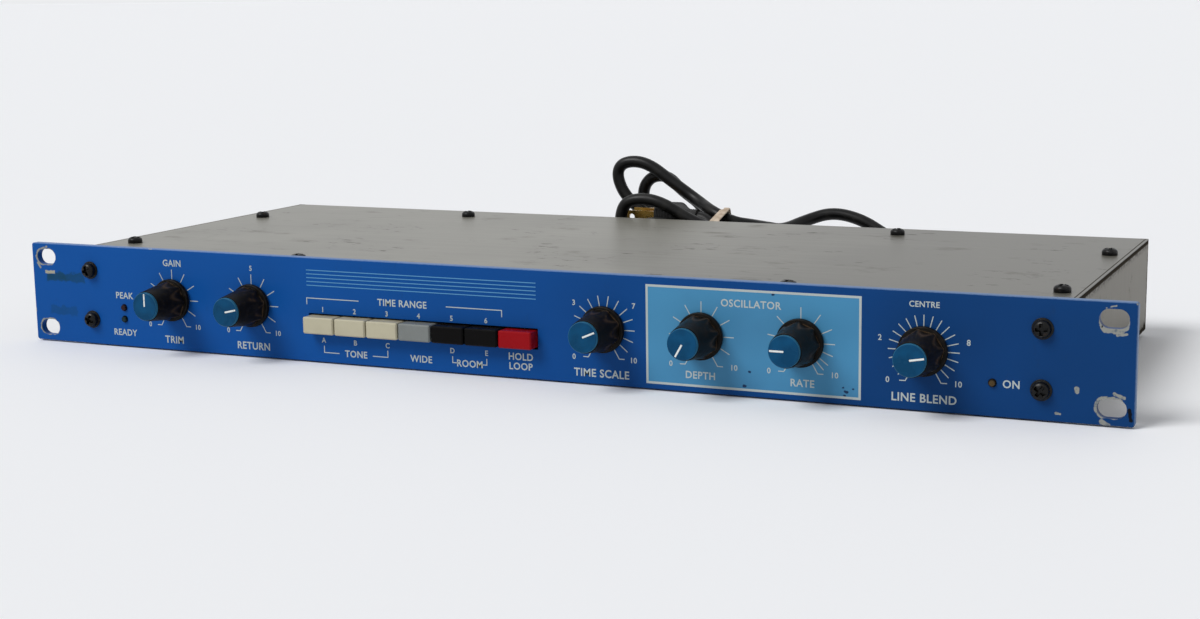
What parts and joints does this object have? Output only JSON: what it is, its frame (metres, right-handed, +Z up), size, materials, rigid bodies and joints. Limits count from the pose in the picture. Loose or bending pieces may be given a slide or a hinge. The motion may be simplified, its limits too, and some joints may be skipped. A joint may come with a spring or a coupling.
{
  "type": "rackmount delay unit",
  "caption": "Low rackmount audio delay unit: blue face panel with scalloped knobs and a push-button row, flat steel case, rear sockets and a tied mains lead.",
  "frame": {"origin": "centre of the four rack slots, on the rear face of the front panel", "axes": "+X to the right along the panel as the user sees it, +Y from the panel to the rear, +Z up"},
  "size_m": [0.4826, 0.2736, 0.0692],
  "materials": {
    "panel_paint": "satin blue enamel with pale screen printing, worn at the rack slots",
    "case_steel": "plain grey-beige steel with faint scuffs",
    "screw_black": "black oxide, slightly worn",
    "zinc_steel": "zinc plated",
    "knob_black": "moulded, edges rubbed brown",
    "cap_blue": "smooth coloured disc with a white pointer line",
    "button_ivory": "moulded",
    "button_grey": "moulded",
    "button_black": "moulded",
    "button_red": "glossy moulded",
    "switch_white": "moulded",
    "lens_red": "unlit lens",
    "lens_green": "unlit lens",
    "lens_amber": "unlit lens",
    "board_green": "glass fibre board",
    "chip_black": "moulded packages",
    "capacitor_sleeve": "shrunk sleeve",
    "bare_aluminium": "extruded",
    "core_iron": "varnished laminations",
    "coil_tape": "taped winding",
    "socket_nickel": "nickel plated",
    "cord_black": "smooth black jacket",
    "band_rubber": "aged natural rubber",
    "blade_brass": "stamped"
  },
  "bodies": {
    "chassis": {"front_panel": "panel_paint", "front_wall": "case_steel", "side_walls": "case_steel", "rear_panel": "case_steel", "top_cover": "case_steel", "bottom_cover": "case_steel", "cover_screws": "screw_black", "panel_screws": "screw_black", "potentiometers": "zinc_steel", "switch_bank": "switch_white", "red_lamp": "lens_red", "green_lamp": "lens_green", "amber_lamp": "lens_amber", "circuit_board": "board_green", "board_standoffs": "zinc_steel", "chips": "chip_black", "filter_capacitors": "capacitor_sleeve", "heat_sink": "bare_aluminium", "transformer_core": "core_iron", "transformer_coil": "coil_tape", "rear_jacks": "socket_nickel", "fuse_holder": "knob_black", "strain_relief": "cord_black", "cord_lead": "cord_black", "cord_hank": "cord_black", "cord_band": "band_rubber", "plug_body": "cord_black", "plug_blades": "blade_brass"},
    "level_dial": {"level_knob": "knob_black", "level_knob_cap": "cap_blue", "level_shaft": "zinc_steel"},
    "feedback_dial": {"feedback_knob": "knob_black", "feedback_knob_cap": "cap_blue", "feedback_shaft": "zinc_steel"},
    "delay_dial": {"delay_knob": "knob_black", "delay_knob_cap": "cap_blue", "delay_shaft": "zinc_steel"},
    "width_dial": {"width_knob": "knob_black", "width_knob_cap": "cap_blue", "width_shaft": "zinc_steel"},
    "speed_dial": {"speed_knob": "knob_black", "speed_knob_cap": "cap_blue", "speed_shaft": "zinc_steel"},
    "mix_dial": {"mix_knob": "knob_black", "mix_knob_cap": "cap_blue", "mix_shaft": "zinc_steel"},
    "button_1": {"button_cap_1": "button_ivory", "button_plunger_1": "switch_white"},
    "button_2": {"button_cap_2": "button_ivory", "button_plunger_2": "switch_white"},
    "button_3": {"button_cap_3": "button_ivory", "button_plunger_3": "switch_white"},
    "button_4": {"button_cap_4": "button_grey", "button_plunger_4": "switch_white"},
    "button_5": {"button_cap_5": "button_black", "button_plunger_5": "switch_white"},
    "button_6": {"button_cap_6": "button_black", "button_plunger_6": "switch_white"},
    "button_7": {"button_cap_7": "button_red", "button_plunger_7": "switch_white"}
  },
  "joints": [
    {"name": "level_turn", "type": "hinge", "parent": "chassis", "child": "level_dial", "pos_m": [-0.1649, -0.0139, 0.0002], "axis": [0, 1, 0], "range_deg": [-150, 150]},
    {"name": "feedback_turn", "type": "hinge", "parent": "chassis", "child": "feedback_dial", "pos_m": [-0.1237, -0.0139, 0.0002], "axis": [0, 1, 0], "range_deg": [-227, 73]},
    {"name": "delay_turn", "type": "hinge", "parent": "chassis", "child": "delay_dial", "pos_m": [0.04, -0.0139, 0.0002], "axis": [0, 1, 0], "range_deg": [-217, 83]},
    {"name": "width_turn", "type": "hinge", "parent": "chassis", "child": "width_dial", "pos_m": [0.0807, -0.0139, 0.0002], "axis": [0, 1, 0], "range_deg": [0, 300]},
    {"name": "speed_turn", "type": "hinge", "parent": "chassis", "child": "speed_dial", "pos_m": [0.1203, -0.0139, 0.0002], "axis": [0, 1, 0], "range_deg": [-60, 240]},
    {"name": "mix_turn", "type": "hinge", "parent": "chassis", "child": "mix_dial", "pos_m": [0.1666, -0.0139, 0.0002], "axis": [0, 1, 0], "range_deg": [-230, 70]},
    {"name": "button_1_press", "type": "slide", "parent": "chassis", "child": "button_1", "axis": [0, 1, 0], "range_m": [0, 0.0038], "stiffness_N_per_m": 300},
    {"name": "button_2_press", "type": "slide", "parent": "chassis", "child": "button_2", "axis": [0, 1, 0], "range_m": [0, 0.0038], "stiffness_N_per_m": 300},
    {"name": "button_3_press", "type": "slide", "parent": "chassis", "child": "button_3", "axis": [0, 1, 0], "range_m": [0, 0.0038], "stiffness_N_per_m": 300},
    {"name": "button_4_press", "type": "slide", "parent": "chassis", "child": "button_4", "axis": [0, 1, 0], "range_m": [0, 0.0038], "stiffness_N_per_m": 300},
    {"name": "button_5_press", "type": "slide", "parent": "chassis", "child": "button_5", "axis": [0, 1, 0], "range_m": [0, 0.0038], "stiffness_N_per_m": 300},
    {"name": "button_6_press", "type": "slide", "parent": "chassis", "child": "button_6", "axis": [0, 1, 0], "range_m": [0, 0.0038], "stiffness_N_per_m": 300},
    {"name": "button_7_press", "type": "slide", "parent": "chassis", "child": "button_7", "axis": [0, 1, 0], "range_m": [0, 0.0038], "stiffness_N_per_m": 300}
  ]
}
